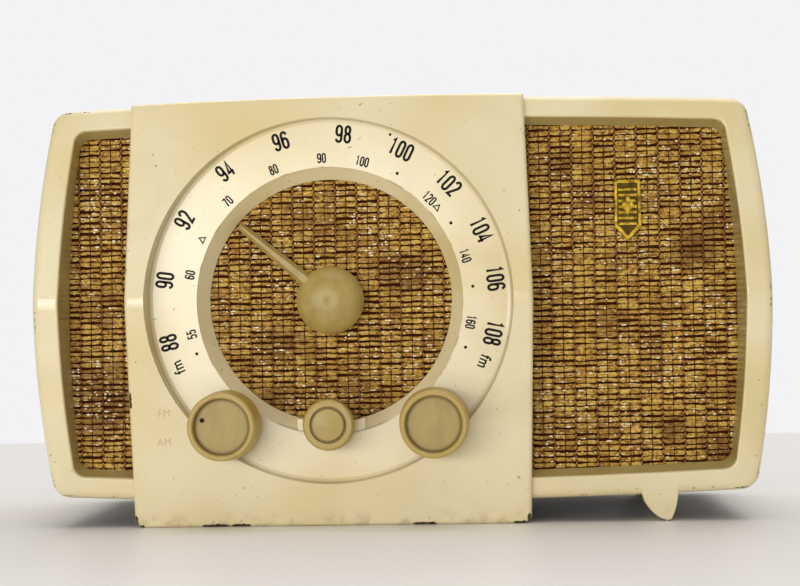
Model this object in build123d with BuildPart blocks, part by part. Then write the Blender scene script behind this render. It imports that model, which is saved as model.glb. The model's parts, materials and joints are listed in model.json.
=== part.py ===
from build123d import *
from math import asin, atan2, cos, hypot, pi, radians, sin
import os

os.makedirs("parts", exist_ok=True)

# Table radio with a moulded cabinet. Millimetres. +X is to the right seen from the front,
# +Y runs from the front to the back and +Z is up. The origin is on the table, under the
# middle of the set. "Depth" is the distance behind the ridge, the cabinet's foremost line.

# ---- driving dimensions -------------------------------------------------------------------
half_width = 172.5  # at the ridge, where the bowed sides are widest
ridge_height = 105.5
cabinet_depth = 158
inlet_rear = 163  # depth of the rearmost piece, the mains inlet
knob_length = 20
knob_front = -15  # depth of the two large knobs' rims
front_y = -(knob_front + inlet_rear) / 2  # the ridge's Y, so that the set is centred

ridge_radius = 25  # the ridge is a soft line
lean = 0.105  # how far both halves of the front lean back, per millimetre of height
wall = 3.5
panel_step = 3.4  # the centre panel stands this far in front of the grille frames
top_crown, bottom_crown = 200.7, 10.6
top_corner_x, top_corner = 162.8, 196.9
bottom_corner_x, bottom_corner = 165, 14.5
corner_radius = 9
opening_swell = 3  # the openings' sides are less bowed than the cabinet's by this much

dial_x = -33.2
dial_radius = 86
ring_depth = 12  # the flat printed ring
crease_radius = 62.8
grille_radius = 57.4
cloth_depth = 20
cloth_thickness = 1
baffle_front = cloth_depth + cloth_thickness
baffle_back = baffle_front + 4

panel_half_top, panel_half_ridge, panel_half_foot = 92.4, 95.1, 93
panel_left, panel_right = dial_x - panel_half_top, dial_x + panel_half_top
band_height = 0.8  # the panel goes on over the top as a low band

control_height = 48  # the three control shafts lie in one row
control_pitch = 48.4
band_x, volume_x, tuning_x = dial_x - control_pitch, dial_x, dial_x + control_pitch
shaft_radius = 3
running_gap = 0.05  # radial clearance of every turning fit

chassis_left, chassis_right = -150, 36
chassis_front, chassis_back = 34, 146
chassis_bottom, chassis_top = 18, 62
sheet = 1.2

cord_depth = 30  # the plane that the dial cord runs in
cord_radius = 0.4
drum_x, drum_z, drum_radius = -100, 90, 30
pointer_turns = 206 / 180  # the scale spans 206 degrees, the condenser 180
pulley_radius = drum_radius / pointer_turns
idler_x, idler_z, idler_radius = -8, 56, 4
pointer_angle = 139.6  # from +X, seen from the front

speaker_x, speaker_z, speaker_radius = 104, 104, 60

panel_kink_radius = 60
panel_rim_radius = 2
foot_corner_radius = 4
opening_rim_radius = 0.8
cove_radius = 2.5
pocket_bottom, pocket_top = 19, 193
bearing_radius = 4.5  # outside of the pointer's bearing

screw_radius = 1.5
spotface_height = 14.3
baffle_screws = [(-112, 182), (46, 182), (-112, 30), (46, 30)]  # x and z
speaker_screws = [(speaker_x + 40 * i, speaker_z + 40 * j) for i in (-1, 1) for j in (-1, 1)]
cover_screws = [(-162, 150), (162, 150), (-162, 55), (162, 55), (-70, 192), (70, 192)]
chassis_screws = [(-140, 50), (-140, 130), (26, 50), (26, 130)]  # x and depth
fin_inner_edge = [(-8.7, 17), (-5, 6.4), (3.6, 0)]  # the ends and middle of a curve
fin_outer_edge = [(5.3, 0), (7.7, 6), (8.7, 17)]
fins = [(119.3, 1, 8, 30), (119.3, 1, 134, 146), (-119.3, -1, 134, 146)]

badge_x, badge_z = 107.6, 148
badge_outline = [(-6, 12), (6, 12), (6.2, -10), (0, -16.5), (-6.2, -10)]
rib_pitch = 2.7

tube_places = [(-128, 104), (-96, 112), (-64, 104), (-44, 66), (-22, 118), (-70, 132)]  # x and depth
can_places = [(-67, 76), (-36, 92), (-118, 132), (-11, 92)]
socket_radius = 9
bush_radius = 4.5
stud_radius = 1.5

pointer_shaft_radius = 2.5
hub_front, hub_back, hub_radius = 7.5, 17.2, 16
arm_back, arm_thickness, arm_length = 16, 3.2, 56
arm_root, arm_tip = 7.4, 3.6  # widths
arm_taper = 26  # the arm's sides slope up to a narrow ridge
scale_start = 195  # where the pointer stands at the low end
drum_turned = (scale_start - pointer_angle) / pointer_turns
meshed_angle = 180 - drum_turned  # the middle of the rotor plates, fully meshed at 180

shaft_front = -6
small_front, small_back, small_radius = -9, 9.5, 12
knurl_count, notch_radius = 60, 0.42
dish_depth = 3.4
dot_angle, dot_distance = 161, 9.5

cover_front, cover_back = 154, 157
inlet_x, inlet_z = -112, 40
loop_z = 112
terminal_xs, terminal_z = (48, 62, 76), 40


# ---- helpers ------------------------------------------------------------------------------
def at(depth):
    """The Y of a depth."""
    return front_y + depth


def upright(depth):
    """The upright plane at this depth, drawn as seen from the front. Its normal points forward."""
    return Plane.XZ.offset(-at(depth))


def level(height):
    """The level plane at this height, seen from above."""
    return Plane.XY.offset(height)


def save(builder, name):
    builder.part.label = name
    export_step(builder.part, f"parts/{name}.step")


def bar(x, z, radius, start, end, mode=Mode.ADD):
    """A round bar along the depth, or a hole with Mode.SUBTRACT."""
    with BuildSketch(upright(end)) as round_end:
        with Locations((x, z)):
            Circle(radius)
    extrude(round_end.sketch, amount=end - start, mode=mode)


def hole(x, z, radius, start, end):
    bar(x, z, radius, start, end, Mode.SUBTRACT)


def cone(x, z, start_radius, end_radius, start, end, mode=Mode.ADD):
    """A cone along the depth, from start_radius at start to end_radius at end."""
    with BuildSketch(upright(start)) as near:
        with Locations((x, z)):
            Circle(start_radius)
    with BuildSketch(upright(end)) as far:
        with Locations((x, z)):
            Circle(end_radius)
    loft([near.sketch, far.sketch], mode=mode)


def block(low, high, mode=Mode.ADD):
    """A box between two corners, each given as x, depth and z."""
    size = [b - a for a, b in zip(low, high)]
    middle = [(a + b) / 2 for a, b in zip(low, high)]
    with Locations((middle[0], at(middle[1]), middle[2])):
        Box(*size, mode=mode)


def pillar(x, depth, radius, low, high, mode=Mode.ADD):
    """A round bar that stands upright."""
    with BuildSketch(level(low)) as foot:
        with Locations((x, at(depth))):
            Circle(radius)
    extrude(foot.sketch, amount=high - low, mode=mode)


def turned(x, z, profile, mode=Mode.ADD):
    """A round piece on an axis along the depth. The profile is a list of (radius, depth)."""
    with BuildSketch(Plane((x, 0, z))) as section:
        Polygon(*[(radius, at(depth)) for radius, depth in profile], align=None)
    revolve(section.sketch, axis=Axis((x, 0, z), (0, 1, 0)), mode=mode)


def turned_upright(x, depth, profile, mode=Mode.ADD):
    """A round piece on a standing axis. The profile is a list of (radius, height)."""
    with BuildSketch(Plane((x, at(depth), 0), x_dir=(1, 0, 0), z_dir=(0, -1, 0))) as section:
        Polygon(*profile, align=None)
    revolve(section.sketch, axis=Axis((x, at(depth), 0), (0, 0, 1)), mode=mode)


def front_rim(part):
    """The edges round the leaning front, without the level lines along its ridge."""
    edges = [edge for face in part.faces().sort_by(Axis.Y)[:3] for edge in face.edges()]
    return [
        edge
        for edge in edges
        if edge.bounding_box().size.Z > 0.5 or abs(edge.center().Z - ridge_height) > ridge_radius
    ]


def opening_rim(part):
    """The edges where the grille opening meets the leaning front."""
    inside = half_width - 11
    return [
        edge
        for edge in part.edges()
        if abs(edge.center().X) < inside
        and at(0) < edge.center().Y < at(15)
        and 20 < edge.bounding_box().min.Z
        and edge.bounding_box().max.Z < 192
    ]


def bowed_outline(sketch, side_inset, level_inset, radius, swell=0):
    """The cabinet's outline with bowed edges, brought in by the insets. The swell spreads its corners."""
    top_x, bottom_x = top_corner_x - side_inset + swell, bottom_corner_x - side_inset + swell
    low, high = bottom_corner + level_inset, top_corner - level_inset
    side = half_width - side_inset
    with BuildLine() as edge:
        ThreePointArc((-top_x, high), (0, top_crown - level_inset), (top_x, high))
        ThreePointArc((top_x, high), (side, ridge_height), (bottom_x, low))
        ThreePointArc((bottom_x, low), (0, bottom_crown + level_inset), (-bottom_x, low))
        ThreePointArc((-bottom_x, low), (-side, ridge_height), (-top_x, high))
    make_face(edge.line)
    fillet(sketch.vertices(), radius)


def crown_height(x):
    """The height of the cabinet's top line at x."""
    return top_crown - (top_crown - top_corner) * (x / top_corner_x) ** 2


def cut_leaning_front(step):
    """Cuts away what stands in front of the two leaning halves, set back by step."""
    low, high = -10, 220
    with BuildSketch(Plane.YZ) as side_view:
        Polygon(
            (at(-40), low),
            (at(step + lean * (ridge_height - low)), low),
            (at(step), ridge_height),
            (at(step + lean * (high - ridge_height)), high),
            (at(-40), high),
            align=None,
        )
        ridge = side_view.vertices().sort_by_distance((at(step), ridge_height, 0))[0]
        fillet(ridge, ridge_radius)
    extrude(side_view.sketch, amount=half_width + 10, both=True, mode=Mode.SUBTRACT)


# ---- cabinet ------------------------------------------------------------------------------
band_line = [(x, crown_height(x) + band_height) for x in (panel_left, dial_x, panel_right)]

# The centre panel: its sides taper a little above and below the ridge, and it ends as the
# front foot. The soft kinks at the ridge let the rim be rounded all the way round.
with BuildPart() as panel:
    with BuildSketch(upright(cloth_depth)) as panel_sketch:
        with BuildLine():
            Polyline(
                band_line[2],
                (dial_x + panel_half_ridge, ridge_height),
                (dial_x + panel_half_foot, 0),
                (dial_x - panel_half_foot, 0),
                (dial_x - panel_half_ridge, ridge_height),
                band_line[0],
            )
            ThreePointArc(*band_line)
        make_face()
        by_height = panel_sketch.vertices().group_by(Axis.Y)
        fillet(by_height[1], panel_kink_radius)
        fillet(panel_sketch.vertices().group_by(Axis.Y)[0], foot_corner_radius)
    extrude(amount=cloth_depth)
    cut_leaning_front(0)
    fillet(front_rim(panel), panel_rim_radius)

# Hollows behind the panel, which leave bosses for the baffle's screws.
with BuildPart() as pockets:
    with BuildSketch(upright(cloth_depth)):
        with Locations((dial_x, (pocket_bottom + pocket_top) / 2)):
            Rectangle(2 * (panel_half_top - wall), pocket_top - pocket_bottom)
        with Locations((dial_x, ridge_height)):
            Circle(dial_radius + wall, mode=Mode.SUBTRACT)
        with Locations(*baffle_screws):
            Circle(4, mode=Mode.SUBTRACT)
    extrude(amount=cloth_depth)
    cut_leaning_front(wall)
    turned(
        dial_x,
        ridge_height,
        [
            (crease_radius + wall, ring_depth + wall),
            (dial_radius - wall, ring_depth + wall),
            (dial_radius - wall, cloth_depth),
            (crease_radius + wall, cloth_depth),
        ],
    )

# A flat pad on the ring, where the volume shaft comes through at the grille's edge.
with BuildPart() as shaft_pad:
    bar(volume_x, control_height, 16, ring_depth, cloth_depth)
    hole(dial_x, ridge_height, grille_radius, ring_depth - 1, cloth_depth + 1)

# One fin stands at the front right, where the panel gives no foot, and two at the back.
with BuildPart() as fin_feet:
    for fin_x, outward, start, end in fins:
        inner_edge, outer_edge = (
            [(fin_x + x * outward, z) for x, z in edge] for edge in (fin_inner_edge, fin_outer_edge)
        )
        with BuildSketch(upright(end)):
            with BuildLine():
                ThreePointArc(*inner_edge)
                Line(inner_edge[-1], outer_edge[0])
                ThreePointArc(*outer_edge)
                Line(outer_edge[-1], inner_edge[0])
            make_face()
        extrude(amount=end - start)
    cut_leaning_front(panel_step)
    fin_rim = fin_feet.faces().sort_by(Axis.Y)[0].edges().sort_by(Axis.Z)[:-1]
    fillet(fin_rim, 0.6)

with BuildPart() as cabinet:
    with BuildSketch(upright(cabinet_depth)) as cabinet_sketch:
        bowed_outline(cabinet_sketch, 0, 0, corner_radius)
    extrude(amount=cabinet_depth)
    cut_leaning_front(panel_step)
    fillet(front_rim(cabinet), 4)
    fillet(cabinet.faces().sort_by(Axis.Y)[-1].edges(), 1.5)
    # The two grille openings are one slanted cut that the panel then crosses.
    with BuildSketch(upright(panel_step)) as opening_front:
        bowed_outline(opening_front, 12.1, 5.3, 6.5, opening_swell)
    with BuildSketch(upright(cloth_depth)) as opening_back:
        bowed_outline(opening_back, 14.4, 13, 5.5, opening_swell)
    loft(mode=Mode.SUBTRACT)
    fillet(opening_rim(cabinet), opening_rim_radius)
    add(panel.part)
    # The panel's band over the top, to the back edge.
    with BuildSketch(upright(cabinet_depth)):
        with BuildLine():
            ThreePointArc(*band_line)
            Polyline(band_line[2], (panel_right, top_corner - 1), (panel_left, top_corner - 1), band_line[0])
        make_face()
    extrude(amount=cabinet_depth - cloth_depth + 2)
    add(fin_feet.part)
    # The inside.
    with BuildSketch(upright(cabinet_depth + 1)) as inside:
        bowed_outline(inside, wall, wall, corner_radius - wall)
    extrude(amount=cabinet_depth + 1 - cloth_depth, mode=Mode.SUBTRACT)
    add(pockets.part, mode=Mode.SUBTRACT)
    # The dial: a round recess with a coved wall, a flat ring and a cone down to the cloth.
    turned(
        dial_x,
        ridge_height,
        [
            (0, -1),
            (dial_radius, -1),
            (dial_radius, ring_depth - cove_radius),
            (dial_radius - cove_radius * 0.3, ring_depth - cove_radius * 0.3),
            (dial_radius - cove_radius, ring_depth),
            (0, ring_depth),
        ],
        Mode.SUBTRACT,
    )
    cone(dial_x, ridge_height, crease_radius, grille_radius, ring_depth, cloth_depth, Mode.SUBTRACT)
    add(shaft_pad.part)
    for shaft_x in (band_x, volume_x, tuning_x):
        hole(shaft_x, control_height, shaft_radius + 1.5, -1, cloth_depth + 1)
    for x, z in baffle_screws:
        hole(x, z, screw_radius, cloth_depth - 8, cloth_depth + 1)
    # Bosses for the back cover and for the chassis, with their screw holes.
    for x, z in cover_screws:
        bar(x, z, 5.5, 120, cover_front)
        hole(x, z, screw_radius, 138, cover_front + 1)
    for x, depth in chassis_screws:
        pillar(x, depth, 6, bottom_crown + 2.5, chassis_bottom)
        pillar(x, depth, screw_radius + 0.3, 0, chassis_bottom + 1, Mode.SUBTRACT)
        pillar(x, depth, 4.5, 0, spotface_height, Mode.SUBTRACT)
save(cabinet, "cabinet")

# ---- baffle, cloth and badge --------------------------------------------------------------
with BuildPart() as baffle:
    with BuildSketch(upright(baffle_back)) as baffle_sketch:
        bowed_outline(baffle_sketch, wall + 1.5, wall + 1.5, 4)
    extrude(amount=baffle_back - baffle_front)
    for shaft_x in (band_x, volume_x, tuning_x):
        hole(shaft_x, control_height, 6, baffle_front - 1, baffle_back + 1)
    hole(dial_x, ridge_height, bearing_radius, baffle_front - 1, baffle_back + 1)
    hole(speaker_x, speaker_z, speaker_radius - 6, baffle_front - 1, baffle_back + 1)
    for x, z in baffle_screws + speaker_screws:
        hole(x, z, screw_radius + 0.1, baffle_front - 1, baffle_back + 1)
save(baffle, "baffle_board")

with BuildPart() as cloth:
    with BuildSketch(upright(baffle_front)) as cloth_sketch:
        bowed_outline(cloth_sketch, wall + 3, wall + 3, 4)
    extrude(amount=cloth_thickness)
    for shaft_x in (band_x, volume_x, tuning_x):
        hole(shaft_x, control_height, 6, cloth_depth - 1, baffle_front + 1)
    hole(dial_x, ridge_height, bearing_radius + 0.4, cloth_depth - 1, baffle_front + 1)
    for x, z in baffle_screws:
        hole(x, z, screw_radius + 0.5, cloth_depth - 1, baffle_front + 1)
save(cloth, "grille_cloth")

with BuildPart() as badge:
    with BuildSketch(upright(cloth_depth - 0.2)):
        with Locations((badge_x, badge_z)):
            Polygon(*badge_outline, align=None)
    extrude(amount=1.6)
    with BuildSketch(upright(cloth_depth - 1.2)):
        with Locations((badge_x, badge_z)):
            Polygon(*[(x * 0.8, z * 0.88) for x, z in badge_outline], align=None)
    extrude(amount=1, mode=Mode.SUBTRACT)
    # Plain ribs and a plain diamond stand up from its floor.
    with BuildSketch(upright(cloth_depth - 1.2)):
        with Locations((badge_x, badge_z - 0.6)):
            with GridLocations(1, rib_pitch, 1, 7):
                Rectangle(8.6, 1.1)
    extrude(amount=0.45)
    with BuildSketch(upright(cloth_depth - 1.2)):
        with Locations((badge_x, badge_z)):
            Polygon((0, 5.6), (3.2, 0), (0, -5.6), (-3.2, 0), align=None)
    extrude(amount=0.85, taper=20)
save(badge, "badge")

with BuildPart() as screws:
    for x, z in baffle_screws:
        bar(x, z, screw_radius, cloth_depth - 6, baffle_back)
        cone(x, z, 3.4, 2.6, baffle_back, baffle_back + 1.8)
save(screws, "baffle_screws")

# ---- loudspeaker --------------------------------------------------------------------------
with BuildPart() as gasket:
    bar(speaker_x, speaker_z, speaker_radius, baffle_back, baffle_back + 1)
    hole(speaker_x, speaker_z, 54, baffle_back - 1, baffle_back + 2)
    for x, z in speaker_screws:
        hole(x, z, screw_radius + 0.1, baffle_back - 1, baffle_back + 2)
save(gasket, "speaker_gasket")

flange = baffle_back + 1  # depth of the speaker frame's front
with BuildPart() as basket:
    turned(
        speaker_x,
        speaker_z,
        [
            (52, flange),
            (speaker_radius, flange),
            (speaker_radius, flange + 1.5),
            (53.7, flange + 1.5),
            (25.2, flange + 30.2),
            (11, flange + 30.2),
            (11, flange + 29),
            (23.6, flange + 29),
            (52, flange + 0.9),
        ],
    )
    with BuildSketch(upright(flange + 28)):
        with Locations((speaker_x, speaker_z)):
            Circle(46)
            Circle(29, mode=Mode.SUBTRACT)
            Rectangle(16, 100, mode=Mode.SUBTRACT)
            Rectangle(100, 16, mode=Mode.SUBTRACT)
    extrude(amount=26, mode=Mode.SUBTRACT)
    for x, z in speaker_screws:
        hole(x, z, screw_radius + 0.1, flange - 1, flange + 3)
save(basket, "speaker_frame")

with BuildPart() as cone_paper:
    turned(
        speaker_x,
        speaker_z,
        [
            (53.9, flange - 0.6),
            (53.9, flange),
            (50, flange),
            (10.8, flange + 23.2),
            (9.9, flange + 23.2),
            (49.2, flange - 0.6),
        ],
    )
save(cone_paper, "speaker_cone")

with BuildPart() as dust_cap:
    turned(
        speaker_x,
        speaker_z,
        [(0, flange + 17), (6, flange + 18), (11.6, flange + 21), (11.2, flange + 21.6), (0, flange + 17.8)],
    )
save(dust_cap, "speaker_dust_cap")

with BuildPart() as voice_coil:
    bar(speaker_x, speaker_z, 9.9, flange + 23.2, flange + 35)
    hole(speaker_x, speaker_z, 9.2, flange + 23, flange + 36)
save(voice_coil, "voice_coil")

magnet_front = flange + 30.2
with BuildPart() as magnet:
    bar(speaker_x, speaker_z, 22, magnet_front, magnet_front + 16)
    bar(speaker_x, speaker_z, 10.5, magnet_front - 1, magnet_front + 7, Mode.SUBTRACT)
    bar(speaker_x, speaker_z, 8.6, magnet_front + 0.2, magnet_front + 7)
save(magnet, "speaker_magnet")

with BuildPart() as speaker_fixings:
    for x, z in speaker_screws:
        bar(x, z, screw_radius, baffle_front, flange + 1.5)
        cone(x, z, 2.7, 2.2, flange + 1.5, flange + 3.2)
save(speaker_fixings, "speaker_screws")

# ---- chassis ------------------------------------------------------------------------------
with BuildPart() as chassis:
    block((chassis_left, chassis_front, chassis_bottom), (chassis_right, chassis_back, chassis_top))
    block(
        (chassis_left + sheet, chassis_front + sheet, chassis_bottom - 1),
        (chassis_right - sheet, chassis_back - sheet, chassis_top - sheet),
        Mode.SUBTRACT,
    )
    for low_x, high_x in ((chassis_left, chassis_left + 18), (chassis_right - 18, chassis_right)):
        block(
            (low_x + sheet / 2, chassis_front + sheet / 2, chassis_bottom),
            (high_x - sheet / 2, chassis_back - sheet / 2, chassis_bottom + sheet),
        )
    for x, depth in chassis_screws:
        pillar(x, depth, screw_radius + 0.3, chassis_bottom - 1, chassis_bottom + 2, Mode.SUBTRACT)
    for x, depth in tube_places:
        pillar(x, depth, socket_radius, chassis_top - 2, chassis_top + 1, Mode.SUBTRACT)
    for shaft_x in (band_x, volume_x, tuning_x):
        hole(shaft_x, control_height, bush_radius, chassis_front - 1, chassis_front + 2)
    hole(idler_x, idler_z, stud_radius, chassis_front - 1, chassis_front + 2)
save(chassis, "chassis")

with BuildPart() as chassis_fixings:
    for x, depth in chassis_screws:
        pillar(x, depth, screw_radius + 0.2, spotface_height, chassis_bottom + 4)
        pillar(x, depth, 3.8, spotface_height - 2.2, spotface_height)
save(chassis_fixings, "chassis_screws")

# ---- tubes --------------------------------------------------------------------------------
tube_seat = chassis_top + 4
with BuildPart() as sockets:
    for x, depth in tube_places:
        pillar(x, depth, 11.5, chassis_top, chassis_top + 1)
        pillar(x, depth, 9.5, chassis_top + 1, tube_seat)
        pillar(x, depth, socket_radius - 0.1, chassis_top - 8, chassis_top)
        with BuildSketch(level(tube_seat)) as pin_holes:
            with Locations((x, at(depth))):
                with PolarLocations(5, 7, angular_range=315):
                    Circle(0.6)
        extrude(amount=-7, mode=Mode.SUBTRACT)
save(sockets, "tube_sockets")

for number, (x, depth) in enumerate(tube_places, start=1):
    with BuildPart() as glass:
        turned_upright(
            x,
            depth,
            [
                (8.7, tube_seat),
                (9.5, tube_seat),
                (9.5, tube_seat + 38),
                (8, tube_seat + 42.5),
                (4, tube_seat + 45),
                (1.2, tube_seat + 46),
                (0, tube_seat + 49),
                (0, tube_seat + 44.6),
                (3.6, tube_seat + 44),
                (7.3, tube_seat + 41.8),
                (8.7, tube_seat + 37.6),
            ],
        )
    save(glass, f"tube_{number}_glass")

with BuildPart() as electrodes:
    for x, depth in tube_places:
        pillar(x, depth, 8.65, tube_seat, tube_seat + 2)
        pillar(x, depth, 1.2, tube_seat + 2, tube_seat + 6)
        pillar(x, depth, 8, tube_seat + 6, tube_seat + 6.6)
        pillar(x, depth, 5, tube_seat + 6.6, tube_seat + 32)
        pillar(x, depth, 8, tube_seat + 32, tube_seat + 32.6)
        with BuildSketch(level(tube_seat)) as pins:
            with Locations((x, at(depth))):
                with PolarLocations(5, 7, angular_range=315):
                    Circle(0.5)
        extrude(amount=-6)
save(electrodes, "tube_electrodes")

# ---- other parts on the chassis -----------------------------------------------------------
for number, (x, depth) in enumerate(can_places, start=1):
    with BuildPart() as can:
        block((x - 9.5, depth - 9.5, chassis_top), (x + 9.5, depth + 9.5, chassis_top + 50))
        fillet(can.edges().filter_by(Axis.Z), 2)
        fillet(can.faces().sort_by(Axis.Z)[-1].edges(), 1)
        pillar(x, depth, 2, chassis_top + 45, chassis_top + 51, Mode.SUBTRACT)
    save(can, f"if_can_{number}")

with BuildPart() as capacitor:
    pillar(16, 100, 15, chassis_top, chassis_top + 66)
    fillet(capacitor.faces().sort_by(Axis.Z)[-1].edges(), 3)
save(capacitor, "filter_capacitor")

with BuildPart() as core:
    block((-13, 56, chassis_top), (23, 72, chassis_top + 30))
    for low_x in (-7, 11):
        block((low_x, 55, chassis_top + 6), (low_x + 6, 73, chassis_top + 24), Mode.SUBTRACT)
save(core, "output_transformer_core")

with BuildPart() as coil:
    block((-7, 52, chassis_top + 6), (17, 76, chassis_top + 24))
    block((-1, 56, chassis_top + 5), (11, 72, chassis_top + 25), Mode.SUBTRACT)
save(coil, "output_transformer_coil")

# ---- tuning condenser ---------------------------------------------------------------------
condenser_front, condenser_back = 40, 75.6
plate_sheet = 0.8
plate_depths = [condenser_front + 4 + 4 * i for i in range(7)]
with BuildPart() as condenser_frame:
    low_x, high_x = drum_x - 25, drum_x + 22
    block((low_x, condenser_front, chassis_top), (high_x, condenser_back, chassis_top + 1.6))
    for depth in (condenser_front, condenser_back - 1.6):
        block((low_x, depth, chassis_top + 1.6), (high_x, depth + 1.6, drum_z + 12))
    hole(drum_x, drum_z, shaft_radius + running_gap, condenser_front - 1, condenser_back + 1)
save(condenser_frame, "condenser_frame")

with BuildPart() as stator:
    for depth in plate_depths:
        with BuildSketch(upright(depth + plate_sheet)):
            with Locations((drum_x, drum_z)):
                Circle(21)
                Circle(5, mode=Mode.SUBTRACT)
            with Locations((drum_x + 20, drum_z)):
                Rectangle(42, 50, mode=Mode.SUBTRACT)
        extrude(amount=plate_sheet)
    block(
        (drum_x - 22.5, plate_depths[0], chassis_top + 1.6),
        (drum_x - 20, plate_depths[-1] + plate_sheet, drum_z + 8),
    )
save(stator, "condenser_stator")

with BuildPart() as rotor:
    bar(drum_x, drum_z, shaft_radius, cord_depth - 2.5, condenser_back + 2)
    for depth in plate_depths[:-1]:
        with BuildSketch(upright(depth + 2 + plate_sheet)) as blade:
            with Locations((drum_x, drum_z)):
                Circle(19)
                Polygon(
                    (-30, -30),
                    (-0.5, -30),
                    (-0.5, 30),
                    (-30, 30),
                    rotation=meshed_angle,
                    align=None,
                    mode=Mode.SUBTRACT,
                )
        extrude(amount=plate_sheet)
save(rotor, "condenser_rotor")


# ---- dial drive ---------------------------------------------------------------------------
def grooved_wheel(x, z, cord_path_radius, bore, rim_depth):
    """A wheel with a web and a cord groove. The cord's middle runs at cord_path_radius."""
    near, far = cord_depth - 2.5, cord_depth + 2.5
    groove = cord_path_radius - cord_radius - 0.1
    rim = cord_path_radius + 1.5
    inner = groove - rim_depth
    turned(
        x,
        z,
        [
            (bore, near),
            (bore + 3, near),
            (bore + 3, near + 1.5),
            (inner, near + 1.5),
            (inner, near),
            (rim, near),
            (rim, cord_depth - 0.7),
            (groove, cord_depth - 0.7),
            (groove, cord_depth + 0.7),
            (rim, cord_depth + 0.7),
            (rim, far),
            (inner, far),
            (inner, far - 1.5),
            (bore + 3, far - 1.5),
            (bore + 3, far),
            (bore, far),
        ],
    )


with BuildPart() as drum:
    grooved_wheel(drum_x, drum_z, drum_radius, shaft_radius, 2.5)
    with BuildSketch(upright(cord_depth + 3)):
        with Locations((drum_x, drum_z)):
            with PolarLocations(17, 3, start_angle=30):
                Circle(6)
    extrude(amount=6, mode=Mode.SUBTRACT)
save(drum, "drum")

with BuildPart() as spring:
    with BuildSketch(Plane.YZ.offset(drum_x - 9)):
        with Locations((at(cord_depth - 2), drum_z - 14)):
            Circle(1)
            Circle(0.5, mode=Mode.SUBTRACT)
    extrude(amount=18)
save(spring, "cord_spring")

with BuildPart() as pointer_pulley:
    grooved_wheel(dial_x, ridge_height, pulley_radius, pointer_shaft_radius, 2.5)
save(pointer_pulley, "pointer_pulley")

with BuildPart() as pointer_shaft:
    bar(dial_x, ridge_height, pointer_shaft_radius, hub_front + 5, cord_depth + 4)
save(pointer_shaft, "pointer_shaft")

with BuildPart() as bearing:
    bar(dial_x, ridge_height, bearing_radius, cloth_depth - 2, baffle_back)
    bar(dial_x, ridge_height, 10, baffle_back, baffle_back + 1.2)
    hole(dial_x, ridge_height, pointer_shaft_radius + running_gap, cloth_depth - 3, baffle_back + 2)
save(bearing, "pointer_bearing")

with BuildPart() as pointer:
    with BuildSketch(Plane((dial_x, 0, ridge_height))):
        with BuildLine():
            Line((0, at(hub_front)), (0, at(hub_back)))
            Line((0, at(hub_back)), (hub_radius - 1, at(hub_back)))
            Line((hub_radius - 1, at(hub_back)), (hub_radius, at(hub_back - 1)))
            ThreePointArc(
                (hub_radius, at(hub_back - 1)),
                (hub_radius * 0.72, at(hub_front + (hub_back - hub_front) * 0.24)),
                (0, at(hub_front)),
            )
        make_face()
    revolve(axis=Axis((dial_x, 0, ridge_height), (0, 1, 0)))
    # The arm, drawn pointing to +X and turned to its angle.
    with BuildSketch(upright(arm_back)):
        with Locations((dial_x, ridge_height)):
            Polygon(
                (0, -arm_root / 2),
                (arm_length, -arm_tip / 2),
                (arm_length, arm_tip / 2),
                (0, arm_root / 2),
                rotation=pointer_angle,
                align=None,
            )
    extrude(amount=arm_thickness, taper=arm_taper)
    hole(dial_x, ridge_height, pointer_shaft_radius, hub_front + 5, hub_back + 1)
save(pointer, "pointer")

with BuildPart() as idler:
    turned(
        idler_x,
        idler_z,
        [
            (stud_radius + running_gap, cord_depth - 1.5),
            (idler_radius + 1.2, cord_depth - 1.5),
            (idler_radius + 1.2, cord_depth - 0.7),
            (idler_radius - 0.5, cord_depth - 0.7),
            (idler_radius - 0.5, cord_depth + 0.7),
            (idler_radius + 1.2, cord_depth + 0.7),
            (idler_radius + 1.2, cord_depth + 1.5),
            (stud_radius + running_gap, cord_depth + 1.5),
        ],
    )
save(idler, "idler_pulley")

with BuildPart() as stud:
    bar(idler_x, idler_z, stud_radius, cord_depth - 2, chassis_front + 2.4)
    bar(idler_x, idler_z, 2.6, cord_depth - 3, cord_depth - 2)
    bar(idler_x, idler_z, 2.6, cord_depth + 2, chassis_front)
save(stud, "idler_stud")

# The cord is one endless loop in a plane: straight runs that join arcs round the wheels.
# Each wheel is x, z, the radius of the cord's middle, and 1 where the cord passes clockwise.
wheels = [
    (drum_x, drum_z, drum_radius, 1),
    (dial_x, ridge_height, pulley_radius, 1),
    (tuning_x, control_height, shaft_radius, 1),
    (idler_x, idler_z, idler_radius, -1),
]


def tangent_run(first, second):
    """The two ends of the straight run from one wheel to the next."""
    across, up = second[0] - first[0], second[1] - first[1]
    gap = second[2] * second[3] - first[2] * first[3]
    heading = atan2(up, across) + asin(gap / hypot(across, up))
    left = (-sin(heading), cos(heading))
    return [(x + sign * r * left[0], z + sign * r * left[1]) for x, z, r, sign in (first, second)]


runs = [tangent_run(wheels[i], wheels[(i + 1) % len(wheels)]) for i in range(len(wheels))]
with BuildPart() as cord:
    with BuildLine(upright(cord_depth)) as cord_path:
        for i, (x, z, r, sign) in enumerate(wheels):
            arrive, leave = runs[i - 1][1], runs[i][0]
            start = atan2(arrive[1] - z, arrive[0] - x)
            turn = (sign * (start - atan2(leave[1] - z, leave[0] - x))) % (2 * pi)
            middle = start - sign * turn / 2
            ThreePointArc(arrive, (x + r * cos(middle), z + r * sin(middle)), leave)
            Line(*runs[i])
    with BuildSketch(Plane(cord_path.wire() @ 0, z_dir=cord_path.wire() % 0)):
        Circle(cord_radius)
    sweep(path=cord_path.wire())
save(cord, "dial_cord")


# ---- knobs and controls -------------------------------------------------------------------
knob_base = knob_front + knob_length


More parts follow.
